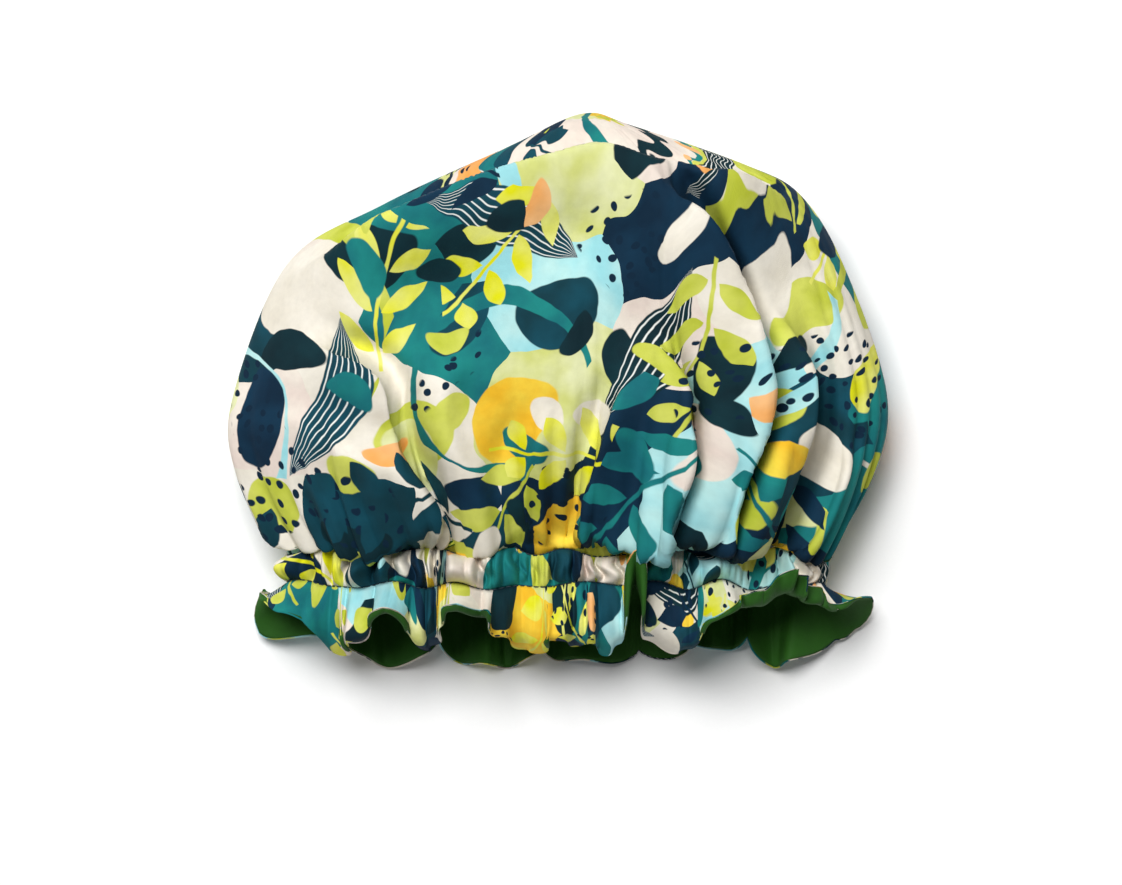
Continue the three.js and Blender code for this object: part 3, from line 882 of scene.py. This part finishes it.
def innerCopy(piece, name, shift, depth):
    # A second layer of cloth inside the first, its face turned inwards. Shift says for each place of
    # the first's grid how the second differs from it, before it is laid a depth under it.
    row, column = gridPlaces(piece)
    bm = bmesh.new()
    bm.from_mesh(piece.data)
    for vert, moved in zip(bm.verts, shift[row, column]):
        vert.co += Vector(moved / 1000)
    bm.normal_update()
    for vert in bm.verts:
        vert.co -= vert.normal * depth / 1000
    bmesh.ops.reverse_faces(bm, faces=bm.faces)
    return pieceFrom(name, bm)


liningShift = foldCrown(base, front, around, along, crown["liningFolds"])[1] - folded
liningShift[..., 1] -= crown["liningShort"] * smoothStep(shares, 0.8, 0.92)[:, None]
liningShift[..., 2] -= crown["liningDrop"] * crisp
crownLining = innerCopy(crownOuter, "crownLining", liningShift, crown["liningDepth"])
finishCloth(crownOuter, printed, "crown_outer")
finishCloth(crownLining, lining, "crown_lining")
print("crown made")

casing = {
    "frontColumns": 420,
    "backColumns": 260,
    "rows": 12,
    "subdivision": 1,
    "puff": 1.5,
    "gatherDepth": 13,
    "loops": 74,
    "loopShare": 0.3,
    "deepest": -2.4,
    "liningGap": 2,
    "liningDepth": 8,
    "liningShare": 0.3,
    "clearance": 0.4,
    "printStart": 300,
    "flat": (0.74, 0.016),
}


def casingGrid(around, out):
    # Out is 1 for the outer strip, which swells outwards in its gathers, and -1 for the lining, which
    # lies deeper and swells inwards
    upper = upperRow(around)
    lower = lowerRow(around)
    shares = np.linspace(0, 1, casing["rows"] + 1)
    flat = outOf(mouthSection(around))
    direction = np.stack([flat[:, 0], np.zeros(len(around)), flat[:, 1]], axis=1)
    grid = np.empty((len(shares), len(around), 3))
    for i, share in enumerate(shares):
        swell = math.sin(math.pi * share) ** 0.7
        shown = mix(0.4, 1, smoothStep(flat[:, 1], -0.3, 0.5)) * (1 - 0.6 * flat[:, 0] ** 2)
        loops = gathers(around, casing["loops"], 31) - 0.5
        pucker = pleats(around, 4 * math.sin(2 * math.pi * share)) - 0.4 + casing["loopShare"] * loops
        # The valleys go no deeper than the elastic that they rest on
        push = swell * np.maximum(casing["puff"] + casing["gatherDepth"] * pucker * shown, casing["deepest"])
        if out < 0:
            fullest = casing["liningDepth"] + casing["liningShare"] * casing["gatherDepth"] * pucker
            push = casing["liningGap"] + math.sqrt(swell) * fullest
        grid[i] = mix(lower, upper, share) + direction * (out * push)[:, None]
    grid[..., 2] = np.maximum(grid[..., 2], casing["clearance"])
    return grid


bandAround = ringColumns(casing["frontColumns"], casing["backColumns"])
casingShape = casingGrid(bandAround, 1)
middleRow = casing["rows"] // 2
casingWay = lengthsRound(casingShape[middleRow : middleRow + 1], casing["frontColumns"] // 2)
casingAlong = np.linspace(0, casingWidth, casing["rows"] + 1)
casingFlat = stripPlaces(casingWay, casingAlong + casing["printStart"])
casingOuter = ringMesh("casingOuter", casingShape, casingFlat)
casingInner = casingGrid(bandAround, -1)
casingLining = ringMesh("casingLining", casingInner, stripPlaces(casingWay, casingAlong))
casingLining.data.flip_normals()
finishCloth(casingOuter, printed, "casing_outer", casing["subdivision"])
finishCloth(casingLining, lining, "casing_lining")
print("casing made")

# The ruffle's free edge at places across the bonnet. Its front waves: each place gives how far the
# edge is drawn back from the cloth's full length, and how far it stands up. Its back lies on the
# floor in low waves, and its places give how far it is drawn back and how far it goes aside.
ruffle = {
    "length": 38,
    "rows": 22,
    "frontColumns": 480,
    "backColumns": 240,
    "front": [
        (-118, 34, 14), (-113, 25, 14), (-97, 8, -10), (-88, 14, 4), (-71, 27, 25), (-60, 11, -4),
        (-54, 13, -13), (-50, 20, 14), (-46, 29, 26), (-32, 30, 27), (-26, 18, 10), (-17, 10, -13),
        (-8, 9, -6), (-1, 15, 12), (7, 9, -12), (14, 11, 2), (21, 6, -13), (27, 12, -8), (33, 54, 30),
        (39, 12, -8), (50, 8, -10), (57, 12, 2), (66, 23, 22), (84, 38, 27), (94, 45, 28), (106, 38, 20),
        (114, 28, 12), (118, 33, 10),
    ],
    "back": [
        (-118, 34, 0), (-117, 20, -7), (-112, 12, -11), (-94, 12, -2), (-73, 0, 0), (-54, 12, 0),
        (-30, 0, 0), (-8, 9, 0), (18, 1, 0), (36, 9, 0), (48, 3, 0), (60, 11, 0), (76, 7, 0), (86, 13, 0),
        (101, 0, 0), (113, 13, 5), (116, 18, 4), (118, 33, 0),
    ],
    "leftFlare": 11,
    "rightFlare": 21,
    "endDrop": 10,
    "bulge": 0.4,
    "swell": 0.15,
    "backWaves": 9,
    "backRise": 14,
    "scallop": 2,
    "flutes": 36,
    "fluteDepth": 6,
    "fluteLean": 1.2,
    "gatherDepth": 4.5,
    "liningDepth": 0.8,
    "clearance": 0.4,
    "printStart": 400,
    "flat": (0.74, 0.038),
}


def eased(stations, x, lobed):
    # Values at places between stations, and how far a steep rise swells sideways. The edge is level at
    # each station, or lobed: round where it reaches furthest, with sharp notches between.
    stations = np.array(stations, float)
    index = np.clip(np.searchsorted(stations[:, 0], x) - 1, 0, len(stations) - 2)
    low, high = stations[index], stations[index + 1]
    span = high[:, 0] - low[:, 0]
    share = np.clip((x - low[:, 0]) / span, 0, 1)
    toNotch = np.where(high[:, 1] > low[:, 1], share, 1 - share)
    arc = 1 - np.sqrt(1 - toNotch**2)
    lobe = np.where(high[:, 1] > low[:, 1], arc, 1 - arc)
    values = mix(low, high, (lobe if lobed else 0.5 - 0.5 * np.cos(np.pi * share))[:, None])
    steep = np.clip(np.abs(high[:, 2] - low[:, 2]) / span, 0, 1)
    return values, ruffle["swell"] * span * steep * np.sin(2 * np.pi * share)


def ruffleEdge(around, plain):
    # For each column, how far its free edge is drawn back and stands out of the oval, and how far
    # it goes sideways
    shown, swell = eased(ruffle["front"], plain[:, 0], False)
    behind = eased(ruffle["back"], plain[:, 0], True)[0]
    turns = ruffle["backWaves"] * (around - 0.5) * 2 + 0.4 * wander(around, 41)
    wave = 0.5 - 0.5 * np.cos(2 * np.pi * turns)
    front = around < 0.5
    drawn = np.where(front, shown[:, 1], behind[:, 1] + ruffle["scallop"] * wave)
    stands = np.where(front, shown[:, 2], -ruffle["backRise"] * wave)
    return drawn, stands, np.where(front, swell, behind[:, 2])


def ruffleGrid(around):
    top = lowerRow(around)
    plain = mouthSection(around)
    out = outOf(plain)
    drawn, stands, swell = ruffleEdge(around, plain)
    ends = out[:, 0] ** 2
    flare = np.where(out[:, 0] < 0, ruffle["leftFlare"], ruffle["rightFlare"])
    stands = mix(stands, flare, ends)
    rest = np.maximum(0, -out[:, 1])
    reached = np.hypot(ruffle["length"] - drawn, stands)
    slack = np.sqrt(np.maximum(ruffle["length"] ** 2 - reached**2, 0)) * (1 - rest) * (1 - 0.7 * ends)
    pucker = pleats(around) - 0.5
    fluteSize = np.clip(0.8 + 0.5 * wander(around, 53, 15), 0.2, 1.4) * smoothStep(out[:, 1], 0.2, 0.7)
    phase = 2 * np.pi * gatherPhase(around, ruffle["flutes"], 71)
    flute = ruffle["fluteDepth"] * fluteSize * 0.5 * np.cos(phase)
    lean = ruffle["fluteLean"] * fluteSize * np.sin(phase)
    shares = np.linspace(0, 1, ruffle["rows"] + 1)
    grid = np.empty((len(shares), len(around), 3))
    for i, share in enumerate(shares):
        bulge = ruffle["bulge"] * slack * math.sin(math.pi * share)
        forward = (ruffle["length"] - drawn) * share + 0.6 * bulge - 0.2 * flute * share
        small = ruffle["gatherDepth"] * pucker * math.sqrt(share) * (1 - 0.65 * share)
        push = out * (stands * share**1.3 + 0.8 * bulge + small + flute * share)[:, None]
        sink = mouth["bottom"] * rest * smoothStep(share, 0, 0.3)
        grid[-1 - i, :, 0] = top[:, 0] + push[:, 0] + (swell + lean) * share**1.2
        grid[-1 - i, :, 1] = top[:, 1] - forward
        drop = ruffle["endDrop"] * ends * share + sink
        grid[-1 - i, :, 2] = np.maximum(top[:, 2] + push[:, 1] - drop, ruffle["clearance"])
    return grid


ruffleAround = ringColumns(ruffle["frontColumns"], ruffle["backColumns"])
ruffleShape = ruffleGrid(ruffleAround)
ruffleWay = lengthsRound(ruffleShape[:1], ruffle["frontColumns"] // 2)
ruffleAlong = np.linspace(0, ruffle["length"], ruffle["rows"] + 1)
ruffleFlat = stripPlaces(ruffleWay, ruffleAlong + ruffle["printStart"])
ruffleOuter = ringMesh("ruffleOuter", ruffleShape, ruffleFlat)
ruffleLining = innerCopy(ruffleOuter, "ruffleLining", np.zeros_like(ruffleShape), ruffle["liningDepth"])
finishCloth(ruffleOuter, printed, "ruffle_outer")
finishCloth(ruffleLining, lining, "ruffle_lining")
print("ruffle made")

hem = {
    "radius": 0.6,
    "rows": 8,
    "inside": 25,
    "outside": 115,
    "depth": 0.9,
    "width": 3,
    "thickness": 0.2,
    "clearance": 0.1,
}


def hemGrid(edge, inside):
    # The turned edge of the ruffle: a narrow roll of cloth round its free edge. Edge and inside are the
    # ruffle's row at that edge and the next one in.
    ahead = unit(edge - inside)
    girth = np.roll(edge, -1, axis=0) - np.roll(edge, 1, axis=0)
    normal = unit(np.cross(-ahead, girth))
    turns = np.radians(np.linspace(-hem["inside"], hem["outside"], hem["rows"] + 1))
    middle = edge - normal * hem["depth"] / 2
    rows = [middle + hem["radius"] * (math.cos(t) * ahead + math.sin(t) * normal) for t in turns]
    return np.array(rows)


hemShape = hemGrid(ruffleShape[0], ruffleShape[1])
hemShape[..., 2] = np.maximum(hemShape[..., 2], hem["clearance"])
hemAlong = np.linspace(-hem["width"], 0, hem["rows"] + 1)
ruffleHem = ringMesh("ruffleHem", hemShape, stripPlaces(ruffleWay, hemAlong + ruffle["printStart"]))
finishCloth(ruffleHem, {**printed, "thickness": hem["thickness"]}, "ruffle_edge_seam")
print("hem made")


def threadMesh(name, corners, radius):
    # Stitches as short rounded lengths of thread, from each corner to the next
    bm = bmesh.new()
    for start, end in zip(corners[:-1], corners[1:]):
        a = Vector((np.array(start) + mouthPlace) / 1000)
        b = Vector((np.array(end) + mouthPlace) / 1000)
        thick = radius / 1000
        turn = (b - a).to_track_quat("Z", "Y").to_matrix().to_4x4()
        size = Matrix.Diagonal((thick, thick, (b - a).length / 2 + thick, 1))
        place = Matrix.Translation((a + b) / 2) @ turn @ size
        bmesh.ops.create_uvsphere(bm, u_segments=8, v_segments=6, radius=1, matrix=place)
    for face in bm.faces:
        face.smooth = True
    return pieceFrom(name, bm)


sewing = {"pitch": 3.2, "radius": 0.26, "outside": 0.35, "inside": -2.5, "dip": 0.9, "steps": 8, "sides": 8}


def rowThread(name, rowOf, out):
    # The thread along one side of a stitch row, dipping into the cloth between its stitches
    fine = np.linspace(0, 1, 4001)
    flat = outOf(mouthSection(fine))
    outwards = np.stack([flat[:, 0], 0 * fine, flat[:, 1]], axis=1)
    path = rowOf(fine)
    count = round(lengthsAlong(path)[-1] / sewing["pitch"])
    places = np.arange(count * sewing["steps"]) / (count * sewing["steps"])
    outwards = evenly(np.hstack([path, outwards]), places)[:, 3:]
    dip = smoothStep(np.abs(np.cos(np.pi * count * places)), 0.8, 1) * sewing["dip"] * np.sign(out)
    line = evenly(path, places) + outwards * (out - dip)[:, None]
    ahead = np.roll(line, -1, axis=0) - np.roll(line, 1, axis=0)
    aside = unit(np.cross(ahead, outwards))
    turns = np.linspace(0, 2 * np.pi, sewing["sides"] + 1)
    shape = np.array([line + sewing["radius"] * (np.cos(t) * outwards + np.sin(t) * aside) for t in turns])
    way = np.append(places, 1)[None] * count * sewing["pitch"]
    return ringMesh(name, shape, stripPlaces(way, turns))


def joined(name, pieces):
    # Several meshes as one piece
    bm = bmesh.new()
    for piece in pieces:
        bm.from_mesh(piece.data)
        bpy.data.objects.remove(piece)
    return pieceFrom(name, bm)


for name, rowOf in (("upper", upperRow), ("lower", lowerRow)):
    threads = [rowThread(name + "Thread", rowOf, out) for out in (sewing["outside"], sewing["inside"])]
    finishPiece(joined(name + "Stitches", threads), navyThread, name + "_stitch_row")
print("stitch rows made")

elastic = {
    "width": 10,
    "out": -4.4,
    "thickness": 0.8,
    "rows": 5,
    "joinPlace": 0.72,
    "joinLength": 12,
    "joinWidth": 5,
    "joinOut": -5.5,
    "pitch": 3,
    "threadRadius": 0.25,
    "gapStitches": 7,
    "gapRows": (2, 4),
    "gapOut": 0.2,
}


def bandPlace(around, y, out):
    # A place on the mouth's plain oval, moved outwards
    fine = np.linspace(0, 1, 2001)[:-1]
    section = mouthSection(fine)
    section = section + outOf(section) * out
    index = int(round(around * len(fine))) % len(fine)
    return np.array([section[index, 0], y, section[index, 1]])


# The elastic keeps between the two stitch rows, wherever the gathers draw them
elasticShares = 0.5 + np.linspace(-0.5, 0.5, elastic["rows"]) * elastic["width"] / casingWidth
bandOut = outOf(mouthSection(bandAround))
elasticOval = mouthSection(bandAround) + bandOut * elastic["out"]
upperY = upperRow(bandAround)[:, 1]
lowerY = lowerRow(bandAround)[:, 1]
elasticShape = np.array([
    np.stack([elasticOval[:, 0], mix(lowerY, upperY, share), elasticOval[:, 1]], axis=1)
    for share in elasticShares
])
elasticAlong = (elasticShares - elasticShares[0]) * casingWidth
elasticWay = lengthsRound(elasticShape[:1], casing["frontColumns"] // 2)
elasticBand = ringMesh("elasticBand", elasticShape, stripPlaces(elasticWay, elasticAlong))
elasticCloth = {"material": elasticMaterial(), "slot": "elastic", "thickness": elastic["thickness"]}
finishCloth(elasticBand, elasticCloth, "elastic_band")

# One stitch as a share of the way round the mouth, whose girth is taken as 2.3 times its width
stitchStep = elastic["pitch"] / (mouth["width"] * 2.3)


def liningPlace(around, row):
    # A place on the inner face of the casing's lining
    column = int(np.argmin(np.abs(bandAround - around)))
    out = bandOut[column]
    return casingInner[row, column] - elastic["gapOut"] * np.array([out[0], 0, out[1]])


joinCorners = []
for k in range(round(elastic["joinLength"] / elastic["pitch"]) + 1):
    y = -casingWidth / 2 + (k % 2 - 0.5) * elastic["joinWidth"]
    joinCorners.append(bandPlace(elastic["joinPlace"] + k * stitchStep, y, elastic["joinOut"]))
joinStitches = threadMesh("joinStitches", joinCorners, elastic["threadRadius"])
finishPiece(joinStitches, navyThread, "elastic_join_stitch")

gapCorners = []
for k in range(elastic["gapStitches"] + 1):
    gapCorners.append(liningPlace(elastic["joinPlace"] + k * stitchStep, elastic["gapRows"][k % 2]))
gapStitches = threadMesh("gapStitches", gapCorners, elastic["threadRadius"])
finishPiece(gapStitches, greenThread, "elastic_gap_stitch")
print("elastic made")

studio = {"place": (-0.9, 1.9, 4.7), "aim": (0, 0, 0.03), "size": 2.4, "power": 292, "fill": 0.15}

world = bpy.data.worlds.new("studio")
world.use_nodes = True
background = world.node_tree.nodes["Background"]
background.inputs["Color"].default_value = (1, 1, 1, 1)
background.inputs["Strength"].default_value = studio["fill"]
bpy.context.scene.world = world

softbox = bpy.data.lights.new("softbox", "AREA")
softbox.size = studio["size"]
softbox.energy = studio["power"]
lamp = bpy.data.objects.new("softbox", softbox)
lamp.location = studio["place"]
lamp.rotation_euler = (Vector(studio["aim"]) - Vector(studio["place"])).to_track_quat("-Z", "Y").to_euler()
bpy.context.collection.objects.link(lamp)

# The picture's size, middle and mouth are in pixels, its scale in millimetres to a pixel, and the scale
# holds at a level in metres above the floor
picture = {
    "width": 1122,
    "scale": 0.44,
    "middle": (561, 442.5),
    "mouth": (558, 548),
    "distance": 2.6,
    "level": 0.03,
    "sensor": 36,
}
lookAt = mouthPlace / 1000 + np.array([
    (picture["middle"][0] - picture["mouth"][0]) * picture["scale"],
    (picture["mouth"][1] - picture["middle"][1]) * picture["scale"],
    0,
]) / 1000
lens = bpy.data.cameras.new("camera")
lens.sensor_width = picture["sensor"]
lens.lens = picture["sensor"] * picture["distance"] / (picture["width"] * picture["scale"] / 1000)
camera = bpy.data.objects.new("camera", lens)
camera.location = (lookAt[0], lookAt[1], picture["distance"] + picture["level"])
bpy.context.collection.objects.link(camera)
bpy.context.scene.camera = camera
bpy.context.scene.view_settings.view_transform = "Standard"

print("light and camera made")
